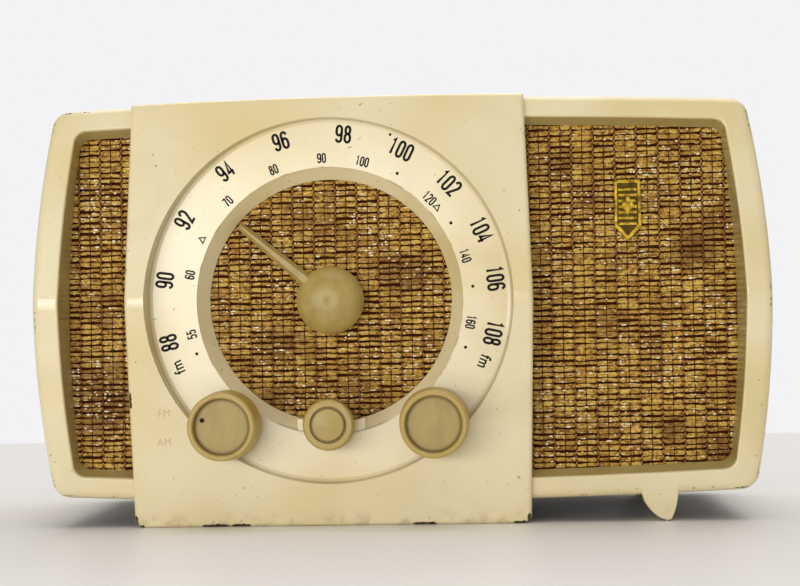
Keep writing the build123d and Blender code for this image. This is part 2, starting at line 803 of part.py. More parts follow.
def dished_knob(x):
    """A large knob: a hollow cup whose front is dished inside a raised rim."""
    turned(
        x,
        control_height,
        [
            (0, knob_front + dish_depth),
            (12.4, knob_front + dish_depth),
            (12.9, knob_front + 0.8),
            (13.6, knob_front),
            (14.7, knob_front),
            (15.5, knob_front + 0.8),
            (16.3, knob_base - 0.6),
            (15.9, knob_base),
            (14, knob_base),
            (13.2, knob_front + 6),
            (6, knob_front + 6),
            (6, knob_base),
            (shaft_radius, knob_base),
            (shaft_radius, shaft_front),
            (0, shaft_front),
        ],
    )


def bush(x, mode=Mode.ADD):
    """The threaded bush that holds a control in the chassis front."""
    bar(x, control_height, bush_radius, chassis_front - 3, chassis_front + sheet, mode)
    hole(x, control_height, shaft_radius + running_gap, chassis_front - 4, chassis_front + 30)


with BuildPart() as tuning_knob:
    dished_knob(tuning_x)
save(tuning_knob, "tuning_knob")

with BuildPart() as band_knob:
    dished_knob(band_x)
    angle = radians(dot_angle)
    hole(
        band_x + dot_distance * cos(angle),
        control_height + dot_distance * sin(angle),
        1,
        knob_front,
        knob_front + dish_depth + 0.4,
    )
save(band_knob, "band_knob")

with BuildPart() as volume_knob:
    turned(
        volume_x,
        control_height,
        [
            (0, small_front - 1.6),
            (6.9, small_front - 0.5),
            (7.5, small_front + 0.3),
            (7.6, small_front + 1.3),
            (8.2, small_front + 1.3),
            (8.5, small_front),
            (10.7, small_front),
            (11.3, small_front + 0.6),
            (small_radius, small_front + 3),
            (small_radius, small_front + 7),
            (9, small_front + 8.5),
            (9, small_back),
            (shaft_radius, small_back),
            (shaft_radius, small_front + 5),
            (0, small_front + 5),
        ],
    )
    with BuildSketch(upright(small_front + 9)):
        with Locations((volume_x, control_height)):
            with PolarLocations(small_radius, knurl_count):
                Circle(notch_radius)
    extrude(amount=10, mode=Mode.SUBTRACT)
save(volume_knob, "volume_knob")

with BuildPart() as tuning_shaft:
    bar(tuning_x, control_height, shaft_radius, shaft_front, chassis_front + 12)
    turned(
        tuning_x,
        control_height,
        [
            (shaft_radius - cord_radius - 0.1, cord_depth - 0.7),
            (shaft_radius + 1, cord_depth - 0.7),
            (shaft_radius + 1, cord_depth + 0.7),
            (shaft_radius - cord_radius - 0.1, cord_depth + 0.7),
        ],
        Mode.SUBTRACT,
    )
save(tuning_shaft, "tuning_shaft")

with BuildPart() as tuning_bush:
    bar(tuning_x, control_height, 7, chassis_front + sheet, chassis_front + 6)
    bush(tuning_x)
save(tuning_bush, "tuning_bush")

with BuildPart() as volume_shaft:
    bar(volume_x, control_height, shaft_radius, small_front + 5, chassis_front + 8)
save(volume_shaft, "volume_shaft")

with BuildPart() as volume_control:
    bar(volume_x, control_height, 11.5, chassis_front + sheet, chassis_front + 18)
    for lug_x in (-6, 0, 6):
        block(
            (volume_x + lug_x - 1.5, chassis_front + 4, control_height - 20),
            (volume_x + lug_x + 1.5, chassis_front + 4.8, control_height - 8),
        )
    bar(volume_x, control_height, bush_radius, chassis_front - 3, chassis_front + sheet)
    hole(volume_x, control_height, shaft_radius + running_gap, chassis_front - 4, chassis_front + 8.3)
save(volume_control, "volume_control")

with BuildPart() as band_shaft:
    bar(band_x, control_height, shaft_radius, shaft_front, chassis_front + 14)
save(band_shaft, "band_shaft")

with BuildPart() as band_switch:
    block(
        (band_x - 14, chassis_front + sheet, control_height - 12),
        (band_x + 14, chassis_front + sheet + 1.6, control_height + 12),
    )
    bar(band_x, control_height, 12, chassis_front + 10, chassis_front + 11.6)
    for side in (-9.5, 9.5):
        bar(band_x + side, control_height, 1.8, chassis_front + 2, chassis_front + 11)
    bush(band_x)
save(band_switch, "band_switch")

with BuildPart() as nuts:
    for shaft_x in (band_x, volume_x, tuning_x):
        with BuildSketch(upright(chassis_front)):
            with Locations((shaft_x, control_height)):
                RegularPolygon(7, 6)
                Circle(bush_radius, mode=Mode.SUBTRACT)
        extrude(amount=2.4)
save(nuts, "control_nuts")

# ---- back ---------------------------------------------------------------------------------
with BuildPart() as cover:
    with BuildSketch(upright(cover_back)) as cover_sketch:
        bowed_outline(cover_sketch, wall + 0.8, wall + 0.8, corner_radius - wall - 0.8)
    extrude(amount=cover_back - cover_front)
    with BuildSketch(upright(cover_back + 1)):
        with Locations((0, 172)):
            with GridLocations(14, 1, 13, 1):
                SlotOverall(26, 4.4, rotation=90)
        with Locations((0, 105)):
            with GridLocations(11, 11, 17, 6):
                Circle(2.6)
        with Locations((-22, 40)):
            with GridLocations(14, 1, 8, 1):
                SlotOverall(20, 4.4, rotation=90)
    extrude(amount=cover_back - cover_front + 2, mode=Mode.SUBTRACT)
    for x, z in cover_screws:
        hole(x, z, screw_radius + 0.2, cover_front - 1, cover_back + 1)
    for x in terminal_xs:
        hole(x, terminal_z, screw_radius + 0.1, cover_front - 1, cover_back + 1)
    block(
        (inlet_x - 12.2, cover_front - 1, inlet_z - 8.2),
        (inlet_x + 12.2, cover_back + 1, inlet_z + 8.2),
        Mode.SUBTRACT,
    )
save(cover, "back_cover")

with BuildPart() as cover_fixings:
    for x, z in cover_screws:
        bar(x, z, screw_radius - 0.05, 141, cover_back)
        cone(x, z, 3.6, 2.8, cover_back, cover_back + 2)
save(cover_fixings, "cover_screws")

with BuildPart() as loop:
    with BuildSketch(upright(cover_front)):
        with Locations((0, loop_z)):
            RectangleRounded(264, 122, 14)
            RectangleRounded(240, 98, 6, mode=Mode.SUBTRACT)
    extrude(amount=2.5)
save(loop, "loop_antenna")

with BuildPart() as terminals:
    block(
        (terminal_xs[0] - 7, cover_back, terminal_z - 6),
        (terminal_xs[-1] + 7, cover_back + 2.5, terminal_z + 6),
    )
    fillet(terminals.edges().filter_by(Axis.Y), 2)
    for x in terminal_xs:
        hole(x, terminal_z, screw_radius + 0.1, cover_back - 1, cover_back + 3)
save(terminals, "antenna_terminal_strip")

with BuildPart() as terminal_fixings:
    for x in terminal_xs:
        bar(x, terminal_z, screw_radius, cover_front - 4, cover_back + 2.5)
        bar(x, terminal_z, 3.2, cover_back + 2.5, cover_back + 4.3)
        slot_low = (x - 3.4, cover_back + 3.7, terminal_z - 0.4)
        block(slot_low, (x + 3.4, cover_back + 5, terminal_z + 0.4), Mode.SUBTRACT)
save(terminal_fixings, "terminal_screws")

with BuildPart() as inlet:
    block((inlet_x - 12, cover_front - 4, inlet_z - 8), (inlet_x + 12, inlet_rear, inlet_z + 8))
    fillet(inlet.edges().filter_by(Axis.Y), 2)
    block((inlet_x - 18, cover_back, inlet_z - 10), (inlet_x + 18, cover_back + 1.4, inlet_z + 10))
    block(
        (inlet_x - 10.5, cover_front - 1, inlet_z - 6.5),
        (inlet_x + 10.5, inlet_rear + 1, inlet_z + 6.5),
        Mode.SUBTRACT,
    )
    for pin_x in (inlet_x - 4, inlet_x + 4):
        hole(pin_x, inlet_z, 1.2, cover_front - 5, cover_front)
save(inlet, "mains_inlet")

with BuildPart() as inlet_pins:
    for pin_x in (inlet_x - 4, inlet_x + 4):
        bar(pin_x, inlet_z, 1.2, cover_front - 8, inlet_rear - 2)
save(inlet_pins, "inlet_pins")
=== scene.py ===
import json
import math
import random

import bpy
from mathutils import Matrix, Vector


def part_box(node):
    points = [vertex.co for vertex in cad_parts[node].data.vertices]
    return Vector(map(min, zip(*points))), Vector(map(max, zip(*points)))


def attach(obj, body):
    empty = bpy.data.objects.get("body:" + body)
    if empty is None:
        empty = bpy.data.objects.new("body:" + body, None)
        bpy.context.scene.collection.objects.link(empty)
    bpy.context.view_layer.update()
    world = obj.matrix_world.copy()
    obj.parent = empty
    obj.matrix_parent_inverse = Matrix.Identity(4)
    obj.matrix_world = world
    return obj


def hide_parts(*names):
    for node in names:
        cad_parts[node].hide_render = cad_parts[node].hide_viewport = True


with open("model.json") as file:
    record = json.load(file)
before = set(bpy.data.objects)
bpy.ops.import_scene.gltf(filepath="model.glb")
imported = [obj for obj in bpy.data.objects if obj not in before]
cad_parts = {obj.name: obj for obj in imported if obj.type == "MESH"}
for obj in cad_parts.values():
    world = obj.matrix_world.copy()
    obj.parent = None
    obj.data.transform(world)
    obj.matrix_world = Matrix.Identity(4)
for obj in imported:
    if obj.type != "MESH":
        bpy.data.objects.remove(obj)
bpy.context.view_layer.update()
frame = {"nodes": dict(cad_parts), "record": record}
random.seed(1951)

# Lengths in this file are in millimetres. MM turns them into Blender's metres.
MM = 0.001


def middle(node):
    """The middle of a CAD node's box, in millimetres."""
    low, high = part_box(node)
    return (low + high) / 2 / MM


# ---- places, from the frame ---------------------------------------------------------------
hub = middle("pointer_bearing")
dial_x, ridge_height = hub.x, hub.z
cloth_low, cloth_high = (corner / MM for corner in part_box("grille_cloth"))
cloth_front, cloth_back = cloth_low.y, cloth_high.y
ridge_y = cloth_front - 20  # the cabinet's foremost line
cabinet_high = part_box("cabinet")[1] / MM
cabinet_depth = cabinet_high.y - ridge_y
half_width = cabinet_high.x
control_height = middle("tuning_shaft").z
band_x, volume_x, tuning_x = (middle(f"{name}_shaft").x for name in ("band", "volume", "tuning"))
band_knob_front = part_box("band_knob")[0].y / MM

# ---- sizes that the paint and the cloth follow -------------------------------------------
lean = 0.105  # both halves of the front lean back this much per millimetre of height
frame_step = 3.4  # the grille frames stand this far behind the centre panel
corner_half_width, corner_half_height = 163.9, 91.2  # the mean of the upper and lower corners
corner_spread = 1.1  # the lower corners are wider than the mean and the upper ones narrower
top_crown, top_corner = 200.7, 196.9  # the shell's upper edge, at its middle and at its corners
bottom_crown, bottom_corner = 10.6, 14.5
panel_half_width, panel_taper = 95.1, 0.025
ring_depth, crease_radius, dial_radius, grille_radius = 12, 62.8, 86, 57.4
large_face_radius = 12.5  # the dished face of the two large knobs
small_radius, small_groove_radius = 12, 7.9
window_half_width, window_low, window_high = 158, 24, 188


def linear(channel):
    """One channel from 0 to 255 in sRGB, as Blender's linear value."""
    share = channel / 255
    return ((share + 0.055) / 1.055) ** 2.4 if channel > 10 else share / 12.92


def srgb(red, green, blue):
    """A colour given as 0 to 255 in sRGB, as Blender's linear colour."""
    return (linear(red), linear(green), linear(blue), 1)


# ---- shader graphs ------------------------------------------------------------------------
class Field:
    """A value in a shader graph that ordinary arithmetic works on."""

    def __init__(self, graph, socket):
        self.graph, self.socket = graph, socket

    def math(self, operation, *others):
        """One of Blender's math operations on this value and the others."""
        node = self.graph.node("ShaderNodeMath", operation=operation)
        for place, value in zip(node.inputs, (self, *others)):
            self.graph.plug(place, value)
        return Field(self.graph, node.outputs[0])

    def __add__(self, other):
        return self.math("ADD", other)

    def __sub__(self, other):
        return self.math("SUBTRACT", other)

    def __rsub__(self, other):
        return (self * -1) + other

    def __mul__(self, other):
        return self.math("MULTIPLY", other)

    __radd__, __rmul__ = __add__, __mul__

    def __abs__(self):
        return self.math("ABSOLUTE")

    def lesser(self, other):
        return self.math("MINIMUM", other)

    def greater(self, other):
        return self.math("MAXIMUM", other)

    def squared(self):
        return self * self

    def root(self):
        return self.math("SQRT")

    def ramp(self, start, end):
        """0 below start, 1 above end and smooth between. start may be the larger one."""
        node = self.graph.node("ShaderNodeMapRange", interpolation_type="SMOOTHSTEP")
        self.graph.plug(node.inputs["Value"], self)
        node.inputs["From Min"].default_value = start
        node.inputs["From Max"].default_value = end
        return Field(self.graph, node.outputs[0])


class Graph:
    """Builds one material. Positions are in millimetres, in the frame at rest."""

    def __init__(self, name):
        self.material = bpy.data.materials.new(name)
        self.material.use_nodes = True
        self.tree = self.material.node_tree
        self.shader = self.tree.nodes["Principled BSDF"]
        place = self.node("ShaderNodeTexCoord").outputs["Object"]
        scaled = self.node("ShaderNodeVectorMath", operation="SCALE")
        self.plug(scaled.inputs[0], place)
        scaled.inputs["Scale"].default_value = 1 / MM
        self.place = scaled.outputs[0]
        split = self.node("ShaderNodeSeparateXYZ")
        self.plug(split.inputs[0], self.place)
        self.x, self.y, self.z = (Field(self, socket) for socket in split.outputs)

    def node(self, kind, **settings):
        """A new node of a kind, with its settings."""
        node = self.tree.nodes.new(kind)
        for key, value in settings.items():
            setattr(node, key, value)
        return node

    def plug(self, place, value):
        """Links a field or a socket to a place, or sets the place to a plain value."""
        if isinstance(value, Field):
            value = value.socket
        if isinstance(value, bpy.types.NodeSocket):
            self.tree.links.new(value, place)
        else:
            place.default_value = value

    def noise(self, size, stretch=(1, 1, 1), detail=3, shift=0):
        """Noise from 0 to 1 whose blotches are about size millimetres across."""
        mapping = self.node("ShaderNodeMapping")
        self.plug(mapping.inputs["Vector"], self.place)
        mapping.inputs["Scale"].default_value = [1 / size / s for s in stretch]
        mapping.inputs["Location"].default_value = (shift, shift, shift)
        node = self.node("ShaderNodeTexNoise")
        self.plug(node.inputs["Vector"], mapping.outputs[0])
        node.inputs["Scale"].default_value = 1
        node.inputs["Detail"].default_value = detail
        return Field(self, node.outputs["Fac"])

    def distance(self, x, z):
        """The distance from a line that runs front to back at x and z."""
        return ((self.x - x).squared() + (self.z - z).squared()).root()

    def attribute(self, name):
        """A value stored on the mesh's points."""
        return Field(self, self.node("ShaderNodeAttribute", attribute_name=name).outputs["Fac"])

    def mix(self, amount, first, second):
        """A colour between two colours. An amount of 0 gives the first one."""
        node = self.node("ShaderNodeMix", data_type="RGBA")
        colors = [socket for socket in node.inputs if socket.type == "RGBA"]
        self.plug(node.inputs["Factor"], amount)
        self.plug(colors[0], first)
        self.plug(colors[1], second)
        return next(socket for socket in node.outputs if socket.type == "RGBA")

    def bump(self, height, distance):
        """Raises the surface where height is 1, by distance millimetres, on top of earlier bumps."""
        node = self.node("ShaderNodeBump")
        node.inputs["Distance"].default_value = distance * MM
        node.inputs["Strength"].default_value = 1.0
        self.plug(node.inputs["Height"], height)
        normal = self.shader.inputs["Normal"]
        if normal.is_linked:
            self.plug(node.inputs["Normal"], normal.links[0].from_socket)
        self.plug(normal, node.outputs[0])

    def finish(self, color, roughness, metallic=0.0, **inputs):
        """Sets the shader's inputs and gives back the material."""
        self.plug(self.shader.inputs["Base Color"], color)
        self.plug(self.shader.inputs["Roughness"], roughness)
        self.shader.inputs["Metallic"].default_value = metallic
        for key, value in inputs.items():
            self.shader.inputs[key.replace("_", " ")].default_value = value
        return self.material


# ---- cabinet paint ------------------------------------------------------------------------
# Chipped places on the edges: x, z and size.
worn_places = [
    (-157, 195, 13),
    (164, 17, 12),
    (171, 104, 9),
    (163, 188, 9),
    (-171, 96, 5),
    (-160, 21, 10),
    (-104, 199, 4),
    (-126, 1, 5),
    (-88, 0, 7),
    (-76, 0, 5),
    (10, 0, 6),
    (56, 1, 5),
    (-126, 60, 4),
    (-70, 200, 6),
]


class Shell:
    """Where a point of the cabinet lies. Each gap is a distance inwards or backwards in millimetres."""

    def __init__(self, g):
        from_ridge = abs(g.z - ridge_height)
        aside = abs(g.x)
        below = (ridge_height - g.z).math("SIGN")
        self.depth = g.y - ridge_y
        self.panel_front_gap = self.depth - from_ridge * lean
        self.front_gap = self.panel_front_gap - frame_step
        self.panel_gap = panel_half_width - from_ridge * panel_taper - abs(g.x - dial_x)
        self.near_panel = self.panel_gap.ramp(-1.5, -0.5)

        # Both are 0 in the middle of the set and 1 at its corners.
        self.level = (from_ridge * (1 / corner_half_height)).squared()
        self.bow = (aside * (1 / corner_half_width)).squared()
        side_bow = self.level * (half_width - corner_half_width - below * corner_spread)
        top_gap = top_crown - self.bow * (top_crown - top_corner) - g.z
        self.bottom_gap = g.z - self.bow * (bottom_corner - bottom_crown) - bottom_crown
        self.outline_gap = (half_width - side_bow - aside).lesser(top_gap).lesser(self.bottom_gap)


def chipped_places(g, shell):
    """1 where the paint is gone: at the worn places, round the corners and at the fin's tip."""
    back_gap = cabinet_depth - shell.depth
    front_rim = shell.outline_gap.greater(shell.front_gap)
    rim = front_rim.lesser(shell.outline_gap.greater(back_gap))
    panel_rim = shell.panel_gap.greater(shell.panel_front_gap).lesser(shell.panel_front_gap.greater(g.z))
    off_panel = 1 - shell.near_panel

    fine = g.noise(1.6, detail=2)
    places = g.noise(17, detail=2, shift=3)
    corners = shell.level.ramp(0.62, 0.86) * shell.bow.ramp(0.72, 0.9) * off_panel
    reach = places.ramp(0.62, 0.74) * (fine * 2.4 + 0.4) + corners * (fine * 1.6 - 0.05)
    for x, z, size in worn_places:
        gap = g.distance(x, z) * (1 / size)
        reach = reach.greater(gap.ramp(1.2, 0.7) * (fine * 1.8 + 0.5))
    chips = (reach - rim * off_panel - shell.near_panel * panel_rim).ramp(0.0, 0.35)
    chips = chips * shell.outline_gap.ramp(-1.5, -0.5).greater(shell.near_panel)
    fin_tip = g.z.ramp(1.4, 0.5) * off_panel * fine.ramp(0.4, 0.55)
    return chips.greater(fin_tip)


def unpainted_places(g, shell):
    """1 under the set and inside it, where the bakelite was never painted."""
    inside = shell.outline_gap.ramp(1.6, 2.6) * (g.y - cloth_front).ramp(0.6, 1.6)
    beneath = shell.bottom_gap.ramp(2.0, 0.6) * shell.depth.ramp(15, 19) * g.z.ramp(9, 10.4)
    return inside.greater(beneath)


def dial_shade(g, shell):
    """Painted shade on the dial's wall, and painted shade at its foot and in the crease round the grille."""
    up = g.z - ridge_height
    radius = g.distance(dial_x, ridge_height)
    on_ring = shell.depth.ramp(ring_depth + 9, ring_depth + 8) * shell.panel_gap.ramp(0, 1)
    # Painted shade: a dark line in the crease round the grille, darker along its lower stretch, a painted
    # shadow at the wall's foot and darker paint on the wall itself.
    crease = abs(radius - crease_radius).ramp(0.7, 0.1)
    crease = crease * g.noise(9, shift=5).ramp(0.5, 0.62).greater(up.ramp(-55, -59) * 1.3)
    wall_foot_shadow = abs(radius - dial_radius + 0.3).ramp(1.6, 0.2) * 0.55
    wall = abs(radius - dial_radius).ramp(0.5, 0.1) * shell.panel_front_gap.ramp(0.8, 1.6)
    at_ring_face = abs(shell.depth - ring_depth).ramp(2.2, 1.2)
    return wall * on_ring, (crease * 0.55 + wall_foot_shadow).lesser(1) * on_ring * at_ring_face


def cabinet_paint():
    """Old cream paint on dark bakelite: uneven, specked, chipped on the edges, with painted shade in the
    dial's recess.
    """
    g = Graph("cream_paint")
    shell = Shell(g)
    chips = chipped_places(g, shell)
    bare = unpainted_places(g, shell)
    wall, recess_shade = dial_shade(g, shell)
    yellowing = g.noise(75, detail=2, shift=1)
    drift = g.noise(40, detail=3, shift=11)
    specks = g.noise(2.2, detail=1, shift=7).ramp(0.745, 0.79)
    floor_dirt = g.z.ramp(9, 0) * g.noise(6, shift=2).ramp(0.45, 0.7) * 0.4

    # The bevel between a frame's face and the cloth was painted a darker tan.
    bevel = shell.front_gap.ramp(1.0, 1.8) * shell.outline_gap.ramp(8, 9)
    bevel = bevel * shell.depth.ramp(21, 20.4) * shell.panel_gap.ramp(0.2, -0.2)

    color = g.mix(yellowing.ramp(0.35, 0.7), srgb(237, 224, 182), srgb(227, 208, 152))
    color = g.mix(drift.ramp(0.55, 0.75) * 0.28, color, srgb(205, 184, 130))
    color = g.mix(bevel * (g.noise(14, shift=9) * 0.3 + 0.72), color, srgb(158, 136, 70))
    # Painted shade on the dial's wall, at its foot and in the crease round the grille.
    color = g.mix(wall * 0.35, color, srgb(170, 156, 112))
    color = g.mix(recess_shade * 0.8, color, srgb(120, 98, 56))
    color = g.mix(floor_dirt, color, srgb(150, 122, 78))
    color = g.mix(specks * 0.6, color, srgb(128, 96, 54))
    color = g.mix(chips, color, srgb(52, 32, 20))
    color = g.mix(bare, color, g.mix(drift, srgb(48, 28, 17), srgb(34, 19, 12)))
    roughness = g.noise(30, shift=4) * 0.16 + 0.27 + chips * 0.25 + recess_shade * 0.2
    g.bump(g.noise(5, detail=1), 0.05)
    g.bump(1 - chips, 0.25)
    return g.finish(color, roughness, Coat_Weight=0.7, Coat_Roughness=0.16)


def knob_plastic():
    """Tan plastic, greyer in the dished faces, with painted shade in the low places."""
    g = Graph("tan_plastic")
    depth = g.y - ridge_y
    large = g.distance(band_x, control_height).lesser(g.distance(tuning_x, control_height))
    small = g.distance(volume_x, control_height)

    color = g.mix(g.noise(9, shift=2).ramp(0.35, 0.7), srgb(182, 158, 88), srgb(169, 145, 77))
    # The large knobs: a warmer rim, a dusty face and painted shade in the hollow ring between them.
    past_face = large - large_face_radius
    rim = past_face.ramp(0.3, 1.0) * large.ramp(17, 16.6)
    color = g.mix(rim * 0.7, color, srgb(190, 160, 82))
    face = past_face.ramp(0.2, -0.3) * depth.ramp(-10.8, -11.3)
    color = g.mix(face * 0.9, color, srgb(181, 158, 96))
    # Painted shade in the hollow ring round the face.
    seat_shade = abs(past_face).ramp(1.5, 0.2) * depth.ramp(-14.7, -13.7)
    color = g.mix(seat_shade * 0.75, color, srgb(112, 88, 34))

    # The small knob: a warmer rim, and painted shade in the groove round the button and in each notch.
    past_groove = small - small_groove_radius
    inside_edge = small_radius - small
    rim = inside_edge.ramp(-0.6, -0.3) * past_groove.ramp(0.3, 0.7)
    color = g.mix(rim * 0.7, color, srgb(184, 154, 76))
    # Painted shade in the groove round the button.
    color = g.mix(abs(past_groove).ramp(0.75, 0.35) * 0.7, color, srgb(112, 86, 32))
    # Painted shade in each notch of the knurl.
    notch_shade = inside_edge.ramp(0.02, 0.2) * inside_edge.ramp(0.8, 0.6) * depth.ramp(-7, -6.2)
    color = g.mix(notch_shade * 0.9, color, srgb(48, 34, 14))

    dust = g.noise(1.1, detail=1, shift=6).ramp(0.7, 0.78)
    color = g.mix(dust * 0.2, color, srgb(215, 200, 160))
    smears = g.noise(7, stretch=(1, 1, 3), detail=3, shift=9).ramp(0.5, 0.7)
    color = g.mix(smears * 0.22, color, srgb(128, 106, 58))
    g.bump(g.noise(1.5), 0.02)
    roughness = g.noise(12, shift=8) * 0.2 + 0.34 + face * 0.15
    return g.finish(color, roughness, Coat_Weight=0.12, Coat_Roughness=0.25)


# ---- cloth threads ------------------------------------------------------------------------
# Stained places: x, z and size.
stains = [
    (137, 127, 15),
    (147, 34, 12),
    (126, 42, 10),
    (-144, 62, 26),
    (76, 168, 12),
    (4, 118, 16),
    (-60, 84, 14),
]


def stained(g, color):
    """Darkens a cloth colour in blotches all over and in a few large soft stains."""
    blotches = g.noise(26, detail=4, shift=12).ramp(0.47, 0.68)
    color = g.mix(blotches * 0.5, color, srgb(110, 62, 12))
    for x, z, size in stains:
        ragged = g.distance(x, z) * (1 / size) + g.noise(7, shift=x) * 0.8 - 0.4
        color = g.mix(ragged.ramp(1.0, 0.2) * 0.5, color, srgb(78, 30, 6))
    return color


def strip_thread():
    """The flat golden weft, with its fine fibres."""
    g = Graph("cloth_strip")
    tone = g.attribute("tone")
    fibres = g.noise(0.5, stretch=(9, 1, 1), detail=2)
    patches = g.noise(1.5, stretch=(1.6, 1, 1), detail=2, shift=4)
    color = g.mix(tone, srgb(184, 132, 34), srgb(236, 196, 90))
    color = g.mix(patches.ramp(0.5, 0.66) * 0.8, color, srgb(118, 60, 6))
    color = g.mix(fibres.ramp(0.35, 0.7) * 0.5, color, srgb(84, 42, 4))
    speckles = g.noise(0.8, stretch=(1.7, 1, 1), detail=1, shift=15)
    color = g.mix(speckles.ramp(0.56, 0.7) * 0.65, color, srgb(240, 214, 140))
    color = g.mix(speckles.ramp(0.42, 0.3) * 0.7, color, srgb(60, 24, 2))
    color = stained(g, color)
    g.bump(fibres, 0.12)
    return g.finish(color, 0.4, Specular_IOR_Level=0.25)


def chain_thread(name, *tone):
    """The twisted warp, with painted shade that halves its brightness in the hollows of its twist."""
    g = Graph(name)
    twist = (g.z * 2.4).math("SINE")
    color = g.mix(twist.ramp(-0.8, 0.8), srgb(*(0.5 * c for c in tone)), srgb(*tone))
    g.bump(twist, 0.1)
    return g.finish(stained(g, color), 0.6, Specular_IOR_Level=0.2)


def ground_thread():
    """The ground seen through the gaps: a real sheet, painted near black as the shade between the strips."""
    g = Graph("cloth_ground")
    color = g.mix(g.noise(1.0, detail=2), srgb(34, 9, 0), srgb(74, 30, 3))
    g.bump(g.noise(0.6), 0.1)
    return g.finish(color, 0.85, Specular_IOR_Level=0.1)


def glint_thread():
    """The bright slivers of foil in the weft, painted near white: a painted reflection of the lamps."""
    g = Graph("cloth_glint")
    color = g.mix(g.noise(2.4).ramp(0.35, 0.6), srgb(250, 238, 204), srgb(196, 164, 92))
    g.bump(g.noise(0.6), 0.08)
    return g.finish(color, 0.34, Coat_Weight=0.3, Coat_Roughness=0.15)


# ---- plain materials ----------------------------------------------------------------------
def mottled(name, light, dark, size, roughness, metallic=0.0, stretch=(1, 1, 1), relief=0.03, **inputs):
    """A material of two close colours in blotches, with a little relief."""
    g = Graph(name)
    blotch = g.noise(size, stretch=stretch, detail=4)
    fine = g.noise(size / 6, stretch=stretch, detail=3, shift=3)
    color = g.mix(blotch.ramp(0.3, 0.7), light, dark)
    g.bump(fine, relief)
    return g.finish(color, fine * 0.2 + roughness, metallic, **inputs)


def badge_metal():
    """Yellowed brass with dark dirt in its low places."""
    g = Graph("badge_brass")
    low_places = (g.y - cloth_front).ramp(-1.6, -1.3)
    color = g.mix(g.noise(2.4).ramp(0.3, 0.7), srgb(216, 182, 58), srgb(160, 122, 34))
    color = g.mix(low_places * 0.9, color, srgb(52, 38, 12))
    color = g.mix(g.noise(3.1, shift=4).ramp(0.52, 0.62) * 0.7, color, srgb(66, 50, 20))
    g.bump(g.noise(0.7), 0.05)
    return g.finish(color, 0.34, 0.85)


def drawn_wire():
    """Copper wire laid side by side."""
    g = Graph("copper")
    lay = (g.x * 5.2).math("SINE") * (g.z * 5.2).math("SINE")
    color = g.mix(g.noise(6), srgb(176, 92, 48), srgb(134, 62, 30))
    g.bump(lay.ramp(-1, 1), 0.15)
    return g.finish(color, 0.35, 0.9)


def pressed_board():
    """Brown pressed board with short fibres and scuffs."""
    g = Graph("hardboard")
    fibres = g.noise(0.9, stretch=(5, 1, 2), detail=3)
    color = g.mix(g.noise(20, detail=3), srgb(104, 72, 44), srgb(78, 50, 30))
    color = g.mix(fibres.ramp(0.5, 0.75) * 0.5, color, srgb(140, 104, 68))
    scuffs = g.noise(3, stretch=(12, 1, 1), detail=1, shift=5).ramp(0.68, 0.76)
    color = g.mix(scuffs * 0.4, color, srgb(160, 128, 92))
    g.bump(fibres, 0.12)
    return g.finish(color, 0.72)


materials = {
    "cream_paint": cabinet_paint(),
    "tan_plastic": knob_plastic(),
    "grille_cloth": ground_thread(),
    "hardboard": pressed_board(),
    "brass": mottled("brass", srgb(196, 160, 86), srgb(150, 116, 58), 5, 0.3, 1.0),
    "steel": mottled(
        "steel", srgb(176, 176, 174), srgb(132, 130, 126), 9, 0.32, 1.0, stretch=(4, 1, 1)
    ),
    "dark_steel": mottled("dark_steel", srgb(40, 40, 42), srgb(24, 24, 25), 8, 0.4, 0.3),
    "speaker_paper": mottled(
        "speaker_paper", srgb(52, 48, 46), srgb(34, 31, 30), 2, 0.8, relief=0.15
    ),
    "magnet": mottled("magnet", srgb(120, 120, 124), srgb(84, 84, 88), 7, 0.4, 0.9),
    "copper": drawn_wire(),
    "tube_glass": mottled(
        "tube_glass",
        srgb(235, 240, 240),
        srgb(214, 222, 222),
        15,
        0.04,
        relief=0.0,
        Transmission_Weight=0.95,
    ),
    "dark_plastic": mottled("dark_plastic", srgb(44, 32, 26), srgb(30, 22, 18), 6, 0.38),
    "phenolic": mottled(
        "phenolic", srgb(132, 84, 44), srgb(104, 62, 30), 5, 0.5, stretch=(5, 1, 1)
    ),
    "aluminium": mottled(
        "aluminium", srgb(206, 208, 210), srgb(170, 172, 176), 9, 0.32, 1.0, stretch=(1, 1, 6)
    ),
    "core_iron": mottled(
        "core_iron", srgb(74, 66, 60), srgb(46, 40, 37), 1.2, 0.5, 0.6, stretch=(20, 1, 20)
    ),
    "cord": mottled("cord", srgb(86, 70, 52), srgb(52, 41, 30), 0.6, 0.8, relief=0.1),
}
slot_of = {row["node"]: row["material_slot"] for row in frame["record"]["subparts"]}
for node_name, node_object in frame["nodes"].items():
    for material_slot in node_object.material_slots:
        material_slot.material = materials[slot_of[node_name]]
for material_slot in frame["nodes"]["badge"].material_slots:
    material_slot.material = badge_metal()


# ---- mesh helpers -------------------------------------------------------------------------
def linked(name, data):
    """An object in the scene with the given mesh, light or camera."""
    made = bpy.data.objects.new(name, data)
    bpy.context.scene.collection.objects.link(made)
    return made


def mesh_from(name, points, faces, material):
    """A mesh from points in millimetres."""
    mesh = bpy.data.meshes.new(name)
    mesh.from_pydata([[c * MM for c in point] for point in points], [], faces)
    mesh.materials.append(material)
    return mesh


def piece(name, points, faces, material, body, smooth=True):
    """A visible piece with one material, that rides on a body."""
    mesh = mesh_from(name, points, faces, material)
    if smooth:
        mesh.shade_smooth()
    else:
        mesh.shade_flat()
    made = linked(name, mesh)
    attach(made, body)
    return made


def grid_faces(start, columns, rows, closed=False):
    """The faces of a grid of points laid row by row. A closed grid joins its last column to its first."""
    faces = []
    for row in range(rows - 1):
        row_start = start + row * columns
        for column in range(columns if closed else columns - 1):
            a, b = row_start + column, row_start + (column + 1) % columns
            faces.append((a, b, b + columns, a + columns))
    return faces


def end_caps(start, end, sides):
    """The faces that close both ends of a tube whose points run from start to end."""
    return [tuple(range(start, start + sides)), tuple(reversed(range(end - sides, end)))]


